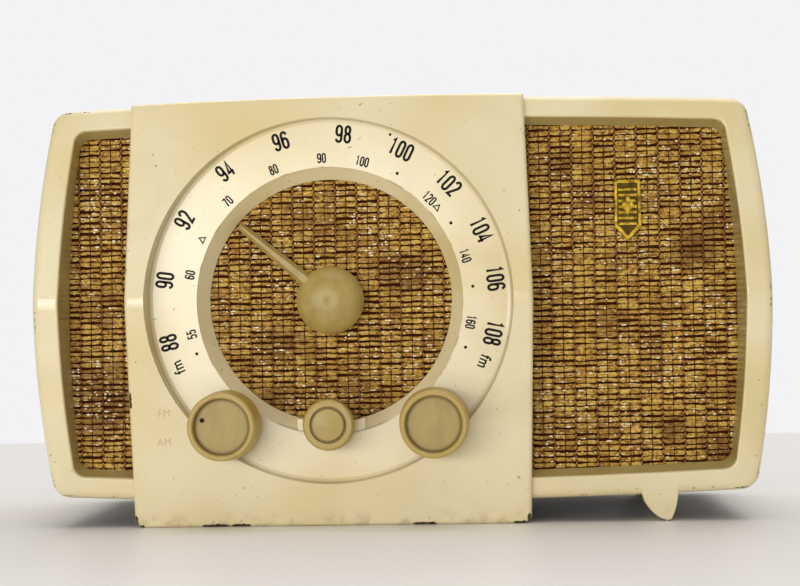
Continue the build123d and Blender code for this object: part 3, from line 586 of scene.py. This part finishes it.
# ---- the weave ----------------------------------------------------------------------------
# The weft lies in short strips between upright chain threads, one strip to a pair of columns. A fine
# seam thread divides each pair, and all of it lies on one dark ground sheet.
pair_width = 10.2  # from one chain thread to the next
row_height, first_row_height = 2.66, 18
row_count = 67
strip_half = 1.1  # half a strip's height
strip_bulge = 0.42
strip_gap = 0.35  # dark between a strip's end and the chain thread's middle
drawn_together = 0.11  # how far each row is drawn towards its neighbour
thread_foot, thread_length = 19, 178
foil_rise, foil_inset = 0.62, 0.7  # the foil lies near a strip's edges and clear of the chains
hem = 2  # the ground stops this far inside the cloth's upper and lower edge
cloth_bow = 9.7  # the cloth is this much narrower, on each side, at the corners
shaft_room = 7  # the ground stays this far from each shaft's middle
window_lap = 6  # the windows run this far in behind the centre panel
strip_margin, thread_margin = 7, 3  # how far the weave runs on past what can be seen
glint_tries = 6500  # slivers tried. Those outside a cluster or out of sight are left out
cloth_middle_x = (cloth_low.x + cloth_high.x) / 2
ground_y = cloth_back - 0.1
weave_y = cloth_back - 0.3
glint_front, glint_back = weave_y - 0.5, weave_y - 0.37
pairs = int(cloth_high.x // pair_width) + 1  # pairs of columns on each side of the middle


def shows(x, z, margin):
    """True where the cloth can be seen: in the two windows and in the dial's opening."""
    in_dial = math.hypot(x - dial_x, z - ridge_height) < grille_radius + margin
    beside_panel = abs(x - dial_x) > panel_half_width - window_lap - margin
    in_width = abs(x) < window_half_width + margin
    in_height = window_low - margin < z < window_high + margin
    return in_dial or (beside_panel and in_width and in_height)


def cloth_edge(z):
    """Half the cloth's width at a height. Its sides are bowed like the cabinet's."""
    return cloth_high.x - cloth_bow * ((z - ridge_height) / corner_half_height) ** 2


def cloth_piece(name, points, faces, material):
    """One of the cloth's pieces. They all ride on the cabinet."""
    return piece(f"grille_cloth_{name}", points, faces, material, "cabinet")


def make_ground():
    """The one sheet that the threads lie on, with room round the shafts."""
    columns, rows = 97, 53
    height = cloth_high.z - cloth_low.z - 2 * hem
    points, faces = [], []
    for row in range(rows):
        z = cloth_low.z + hem + height * row / (rows - 1)
        for column in range(columns):
            x = cloth_edge(z) * (2 * column / (columns - 1) - 1)
            points.append((x, ground_y, z))
    shafts = [(x, control_height) for x in (band_x, volume_x, tuning_x)] + [(dial_x, ridge_height)]
    for face in grid_faces(0, columns, rows):
        x, z = (sum(points[i][axis] for i in face) / 4 for axis in (0, 2))
        if all(math.hypot(x - shaft_x, z - shaft_z) > shaft_room for shaft_x, shaft_z in shafts):
            faces.append(face)
    return cloth_piece("ground", points, faces, materials["grille_cloth"])


def strip_height(pair, row):
    """Where a strip lies. Two rows draw together, and the next pair of columns draws the other two."""
    drawn = drawn_together if (row + pair) % 2 else -drawn_together
    return first_row_height + row * row_height + drawn


def pinch(u):
    """How tightly the warp holds a strip: hard at the chains on its ends, softer at the seam midway."""
    from_end = min(u, 1 - u) * pair_width
    from_seam = (u - 0.5) * pair_width
    return math.exp(-((from_end / 0.8) ** 2)) + 0.45 * math.exp(-((from_seam / 0.5) ** 2))


def make_strips():
    """The flat weft: short bulging strips between the chain threads."""
    along, across = 15, 5
    points, faces, tones = [], [], []
    for pair in range(-pairs, pairs):
        left = cloth_middle_x + pair * pair_width
        middle_x = left + pair_width / 2
        for row in range(row_count):
            height = strip_height(pair, row)
            if not shows(middle_x, height, strip_margin) or abs(middle_x) > cloth_edge(height):
                continue
            tones_here = (random.random(), random.random())
            tilt, swell = random.uniform(-0.16, 0.3), random.uniform(0.6, 1.12)
            sway = random.uniform(0, math.tau)
            start = len(points)
            for i in range(along):
                u = i / (along - 1)
                held = pinch(u)
                half = strip_half * swell * (1 - 0.3 * held)
                x = left + strip_gap + u * (pair_width - 2 * strip_gap)
                middle_z = height + tilt * (u - 0.5) * 1.6 + 0.1 * math.sin(sway + u * 7)
                for j in range(across):
                    v = 2 * j / (across - 1) - 1
                    bulge = strip_bulge * (1 - 0.8 * v * v) * (1 - 0.55 * held)
                    points.append((x, weave_y - bulge, middle_z + v * half))
                    tones.append(tones_here[u > 0.5] * 0.75 + 0.25 * random.random())
            faces += grid_faces(start, across, along)
    strips = cloth_piece("strips", points, faces, strip_thread())
    attribute = strips.data.attributes.new("tone", "FLOAT", "POINT")
    attribute.data.foreach_set("value", tones)
    return strips


def make_threads(name, offset, radius, wave, forward, material):
    """Upright threads, one for each pair of columns, swaying from row to row.

    offset is where the thread lies in its pair, from 0 to 1, wave is how far it sways, and
    forward is how far it lies in front of the weave.
    """
    sides, step = 6, row_height / 5
    points, faces = [], []
    for pair in range(-pairs, pairs + 1):
        x = cloth_middle_x + (pair + offset) * pair_width
        phase = math.pi * (pair % 2)
        run = []
        for i in range(int(thread_length / step)):
            z = thread_foot + i * step
            if shows(x, z, thread_margin) and abs(x) < cloth_edge(z) - 0.5:
                run.append(z)
        for part in split_runs(run, step):
            start = len(points)
            for z in part:
                sway = wave * math.sin(math.tau * z / (2 * row_height) + phase)
                lift = 0.036 * math.cos(math.tau * z / row_height)
                thick = radius * (1 + 0.2 * math.sin(math.tau * z / row_height + phase))
                for side in range(sides):
                    turn = math.tau * side / sides
                    y = weave_y - forward + thick * 0.6 * math.sin(turn) + lift
                    points.append((x + sway + thick * math.cos(turn), y, z))
            faces += grid_faces(start, sides, len(part), closed=True)
            faces += end_caps(start, len(points), sides)
    return cloth_piece(name, points, faces, material)


def split_runs(heights, step):
    """Splits a list of heights where it jumps, so that a thread stops behind the panel."""
    runs, run = [], []
    for z in heights:
        if run and z - run[-1] > 1.5 * step:
            runs.append(run)
            run = []
        run.append(z)
    return [run for run in [*runs, run] if len(run) > 2]


def make_glints():
    """Slivers of foil that lie along the strips' edges, in loose clusters."""
    points, faces = [], []
    for _ in range(glint_tries):
        x = random.uniform(-window_half_width, window_half_width)
        row = random.randrange(row_count - 1)
        pair = math.floor((x - cloth_middle_x) / pair_width)
        waves = math.sin(x * 0.11 + row * 0.35) + math.sin(x * 0.05 - row * 0.21)
        crowding = waves + random.uniform(-1.5, 1.5)
        z = strip_height(pair, row) + random.choice((-foil_rise, foil_rise))
        if crowding < 0.1 or not shows(x, z, 0) or abs(x) > cloth_edge(z) - 2:
            continue
        length = random.uniform(0.35, 0.7) * random.choice((1, 1, 1, 2))
        height = random.uniform(0.26, 0.5)
        chain_x = cloth_middle_x + pair * pair_width
        x = max(x, chain_x + foil_inset + length)
        x = min(x, chain_x + pair_width - foil_inset - length)
        start = len(points)
        for i in range(5):
            u = i / 2 - 1
            half = height * math.sqrt(max(0.04, 1 - u * u))
            for side, y in ((-1, glint_back), (0, glint_front), (1, glint_back)):
                points.append((x + u * length, y, z + side * half))
        faces += grid_faces(start, 3, 5)
    return cloth_piece("glints", points, faces, glint_thread())


ground = make_ground()
strips = make_strips()
chains = make_threads("chains", 0, 0.4, 0.24, 0.34, chain_thread("cloth_chain", 176, 122, 62))
seams = make_threads("seams", 0.5, 0.24, 0.05, 0.3, chain_thread("cloth_seam", 98, 46, 12))
glints = make_glints()
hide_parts("grille_cloth")


# ---- printed marks ------------------------------------------------------------------------
fm_radius, am_radius, dots_radius, triangle_radius = 78.4, 67, 67.5, 66.5
print_lift = 0.03  # a mark's middle lies this far in front of its surface
print_half = 0.03  # half the thickness of a drawn mark
word_thickness = 0.05
dot_turn, dot_radius, dot_depth = math.radians(161), 9.5, 2.62  # the band knob's index dot


def ink(name, color):
    """Printing ink, a little worn."""
    g = Graph(name)
    worn = g.noise(0.8, detail=2).ramp(0.62, 0.75)
    return g.finish(g.mix(worn * 0.25, color, srgb(110, 92, 62)), 0.6, Specular_IOR_Level=0.25)


upright = Matrix.Rotation(math.pi / 2, 4, "X")  # turns a mark to face forward


def ring_place(angle, radius):
    """The place on the dial's ring at an angle in degrees from +X, turned so that tops point outwards."""
    turn = math.radians(angle)
    x = dial_x + radius * math.cos(turn)
    z = ridge_height + radius * math.sin(turn)
    moved = Matrix.Translation(Vector((x, ridge_y + ring_depth - print_lift, z)) * MM)
    return moved @ Matrix.Rotation(math.pi / 2 - turn, 4, "Y") @ upright


def panel_place(x, z):
    """A place on the panel's lower half, which leans back."""
    y = ridge_y + lean * (ridge_height - z) - print_lift
    return Matrix.Translation(Vector((x, y, z)) * MM) @ Matrix.Rotation(math.atan(lean), 4, "X") @ upright


def lettering(text, height, width, weight):
    """A word as a thin closed mesh, its middle at the origin.

    height is in millimetres, width is a share of the font's own width, and weight thickens the strokes.
    """
    curve = bpy.data.curves.new("lettering", "FONT")
    curve.body = text
    curve.offset = weight
    curve.extrude = 0.01
    curve.resolution_u = 4
    curve.space_character = 1.12
    holder = bpy.data.objects.new("lettering", curve)
    mesh = bpy.data.meshes.new_from_object(holder)
    bpy.data.objects.remove(holder)
    left, right = (pick(v.co.x for v in mesh.vertices) for pick in (min, max))
    bottom, top = (pick(v.co.y for v in mesh.vertices) for pick in (min, max))
    scale = height * MM / (top - bottom)
    thicken = word_thickness * MM / (2 * curve.extrude)
    centred = Matrix.Translation((-(left + right) / 2, -(bottom + top) / 2, 0))
    mesh.transform(Matrix.Diagonal((scale * width, scale, thicken, 1)) @ centred)
    return mesh


def arc(x, y, start, end, radius=0.5, steps=8):
    """Points along an arc, whose angles are in degrees."""
    turns = [math.radians(start + (end - start) * i / steps) for i in range(steps + 1)]
    return [(x + radius * math.cos(turn), y + radius * math.sin(turn)) for turn in turns]


# The strokes of each numeral, drawn in a box 1 wide and numeral_height high. Those of 0 and 8 are loops.
numeral_height = 2.3
digit_gap = 0.68
condensed = 0.74  # how much narrower the numerals are printed than they are drawn here
six = arc(0.5, 1.8, 10, 180) + arc(0.5, 0.5, 180, 360) + arc(0.5, 0.88, 0, 175)
numeral_strokes = {
    "0": [arc(0.5, 1.8, 0, 180) + arc(0.5, 0.5, 180, 360)],
    "1": [[(0.2, 1.9), (0.55, 2.3), (0.55, 0)]],
    "2": [[*arc(0.5, 1.8, 175, 0), (0.98, 1.5), (0, 0), (1, 0)]],
    "4": [[(0.72, 0), (0.72, 2.3), (0, 0.6), (1.08, 0.6)]],
    "5": [[(0.95, 2.3), (0.05, 2.3), (0.02, 1.2), *arc(0.5, 0.95, 140, 0), *arc(0.5, 0.5, 0, -170)]],
    "6": [six],
    "7": [[(0, 2.3), (1, 2.3), (0.35, 0)]],
    "8": [
        arc(0.5, 0.5, 180, 360) + arc(0.5, 0.72, 0, 180),
        arc(0.5, 1.65, 180, 360, 0.43) + arc(0.5, 1.87, 0, 180, 0.43),
    ],
    "9": [[(1 - x, numeral_height - y) for x, y in six]],
}


def stroke_edges(line, width, is_loop):
    """The left and right edges of a stroke of even width along a line of points."""
    spots = [Vector(spot) for spot in line]
    ways = [(b - a).normalized() for a, b in zip(spots, spots[1:] + spots[:1])]
    if not is_loop:
        ways[-1] = ways[-2]
    edges = []
    for i, spot in enumerate(spots):
        before, after = ways[i - 1 if is_loop else max(i - 1, 0)], ways[i]
        along = (before + after).normalized()
        reach = width / 2 / max(along.dot(after), 0.55)  # limits how far a sharp corner sticks out
        aside = Vector((-along.y, along.x)) * reach
        edges.append((spot + aside, spot - aside))
    return edges


def numeral(text, height, stroke):
    """A number as a thin closed mesh, its middle at the origin. Sizes are in millimetres."""
    scale = (height - stroke) / numeral_height
    advances = [0.95 + digit_gap if digit == "1" else 1 + digit_gap for digit in text]
    left = -(sum(advances) - digit_gap) / 2
    thick = print_half * MM
    points, faces = [], []
    for digit, advance in zip(text, advances):
        is_loop = digit in "08"
        for line in numeral_strokes[digit]:
            placed = [
                ((x + left) * condensed * scale, (y - numeral_height / 2) * scale) for x, y in line
            ]
            start = len(points)
            for one, other in stroke_edges(placed, stroke, is_loop):
                for side, edge in ((thick, one), (thick, other), (-thick, other), (-thick, one)):
                    points.append((edge.x * MM, edge.y * MM, side))
            faces += grid_faces(start, 4, len(line), closed=True)
            if is_loop:
                last = len(points) - 4
                following = (1, 2, 3, 0)
                faces += [(last + i, last + j, start + j, start + i) for i, j in enumerate(following)]
            else:
                faces += end_caps(start, len(points), 4)
        left += advance
    mesh = bpy.data.meshes.new("numeral")
    mesh.from_pydata(points, [], faces)
    return mesh


def flat_shape(points):
    """A thin closed plate with the given outline, in millimetres round the origin."""
    count = len(points)
    corners = [(x * MM, y * MM, side * MM) for side in (-print_half, print_half) for x, y in points]
    faces = [tuple(reversed(range(count))), tuple(range(count, 2 * count))]
    mesh = bpy.data.meshes.new("shape")
    mesh.from_pydata(corners, [], faces + grid_faces(0, count, 2, closed=True))
    return mesh


def polygon(count, radius):
    """The corners of a regular polygon with one corner at the top."""
    turns = [math.pi / 2 + math.tau * i / count for i in range(count)]
    return [(radius * math.cos(turn), radius * math.sin(turn)) for turn in turns]


def disc(radius):
    return flat_shape(polygon(20, radius))


def triangle_mark(size):
    """A plain open triangle: three thin bars that narrow inwards."""
    corners = [Vector(corner) for corner in polygon(3, size)]
    bars = []
    for a, b in zip(corners, corners[1:] + corners[:1]):
        inward = (a + b).normalized() * -0.068
        bars.append(flat_shape([a, b, b * 0.6 + inward, a * 0.6 + inward]))
    return bars


def printed(name, marks, material, body):
    """One object from many (mesh, place) marks."""
    points, faces = [], []
    for mesh, place in marks:
        start = len(points)
        points += [tuple(place @ vertex.co / MM) for vertex in mesh.vertices]
        faces += [tuple(start + i for i in polygon.vertices) for polygon in mesh.polygons]
    return piece(name, points, faces, material, body, smooth=False)


# Where each number stands, in degrees anticlockwise from the right.
fm_scale = {
    "88": -166.1,
    "90": 172.2,
    "92": 150.2,
    "94": 128.1,
    "96": 106.3,
    "98": 84.4,
    "100": 63.8,
    "102": 43.6,
    "104": 24.0,
    "106": 6.6,
    "108": -12.2,
}
am_scale = {
    "55": -167.0,
    "60": 168.8,
    "70": 135.0,
    "80": 112.4,
    "90": 92.4,
    "100": 75.9,
    "120": 44.7,
    "140": 17.2,
    "160": -9.7,
}
black_ink = ink("black_ink", srgb(15, 11, 9))
marks = [(numeral(text, 8.7, 1.2), ring_place(angle, fm_radius)) for text, angle in fm_scale.items()]
marks += [(lettering("fm", 5.4, 0.8, 0.02), ring_place(angle, fm_radius - 0.2)) for angle in (-156.9, -22.5)]
marks += [(numeral(text, 4.8, 0.72), ring_place(angle, am_radius)) for text, angle in am_scale.items()]
marks += [(disc(0.75), ring_place(angle, dots_radius)) for angle in (-159, 61, 31.5, 4.6, -20)]
marks.append((disc(0.65), ring_place(69, 82.9)))
for angle in (153.6, 39.9):
    marks += [(mesh, ring_place(angle, triangle_radius)) for mesh in triangle_mark(2.3)]
printed("dial_print", marks, black_ink, "cabinet")


faded_ink = ink("faded_ink", srgb(206, 190, 148))
band_marks = [("FM", band_x - 29.3, control_height + 5.9), ("AM", band_x - 29.7, control_height - 7.7)]
printed(
    "band_print",
    [(lettering(text, 3.6, 0.85, 0.0), panel_place(x, z)) for text, x, z in band_marks],
    faded_ink,
    "cabinet",
)

# The band knob's index dot is paint in a shallow hole.
dot_spot = Vector(
    (
        band_x + dot_radius * math.cos(dot_turn),
        band_knob_front + dot_depth,
        control_height + dot_radius * math.sin(dot_turn),
    )
)
printed("band_dot", [(disc(1.05), Matrix.Translation(dot_spot * MM) @ upright)], black_ink, "band")


# ---- floor, light and camera --------------------------------------------------------------
def make_floor():
    """A pale table whose far edge shows behind the set."""
    g = Graph("floor")
    color = g.mix(g.noise(180, detail=2), srgb(243, 242, 243), srgb(239, 238, 239))
    material = g.finish(color, 0.45)
    near, far, side, thickness = -1800, ridge_y + 700, 1500, 25
    outline = [(-side, near), (side, near), (side, far), (-side, far)]
    corners = [(x, y, z) for z in (0, -thickness) for x, y in outline]
    faces = [(0, 1, 2, 3), (7, 6, 5, 4), (0, 4, 5, 1), (1, 5, 6, 2), (2, 6, 7, 3), (3, 7, 4, 0)]
    linked("floor", mesh_from("floor", corners, faces, material))


def area_light(name, place, target, size, power):
    """A soft rectangular light. Places and sizes are in metres, the power in watts."""
    light = bpy.data.lights.new(name, "AREA")
    light.shape = "RECTANGLE"
    light.size, light.size_y = size
    light.energy = power
    holder = linked(name, light)
    holder.location = place
    holder.rotation_euler = (Vector(target) - Vector(place)).to_track_quat("-Z", "Y").to_euler()


make_floor()
area_light("top", (0.2, 0.2, 3.0), (0, 0, 0.1), (3.2, 2.6), 52)
area_light("front", (-0.8, -2.0, 0.22), (0, 0, 0.1), (1.8, 0.4), 18.5)
area_light("back", (0.2, 1.3, 1.5), (0, 0.1, 0), (2.6, 0.8), 11)


def make_world():
    """A pale wall seen straight on, and a dimmer even light from all round."""
    world = bpy.data.worlds.new("studio")
    world.use_nodes = True
    nodes, links = world.node_tree.nodes, world.node_tree.links
    room = nodes["Background"]
    room.inputs["Color"].default_value = srgb(255, 248, 237)
    room.inputs["Strength"].default_value = 0.36
    wall = nodes.new("ShaderNodeBackground")
    wall.inputs["Color"].default_value = srgb(243, 243, 245)
    seen = nodes.new("ShaderNodeLightPath").outputs["Is Camera Ray"]
    choose = nodes.new("ShaderNodeMixShader")
    links.new(seen, choose.inputs[0])
    links.new(room.outputs[0], choose.inputs[1])
    links.new(wall.outputs[0], choose.inputs[2])
    links.new(choose.outputs[0], nodes["World Output"].inputs[0])
    bpy.context.scene.world = world
    bpy.context.scene.view_settings.view_transform = "Standard"


make_world()


def make_camera():
    """Looks at the front from 0.8 m away, turned a little left and up and rolled clockwise."""
    yaw, pitch, roll = 0.037, 0.025, 0.0161
    place = Vector((30, ridge_y - 800, 88)) * MM
    forward = Vector((-math.sin(yaw) * math.cos(pitch), math.cos(yaw) * math.cos(pitch), math.sin(pitch)))
    level_right = forward.cross(Vector((0, 0, 1))).normalized()
    level_up = level_right.cross(forward)
    right = level_right * math.cos(roll) - level_up * math.sin(roll)
    up = level_up * math.cos(roll) + level_right * math.sin(roll)
    camera = bpy.data.cameras.new("camera")
    camera.lens, camera.sensor_width = 78.0, 36.0
    holder = linked("camera", camera)
    holder.matrix_world = Matrix.Translation(place) @ Matrix((right, up, -forward)).transposed().to_4x4()
    bpy.context.scene.camera = holder


make_camera()
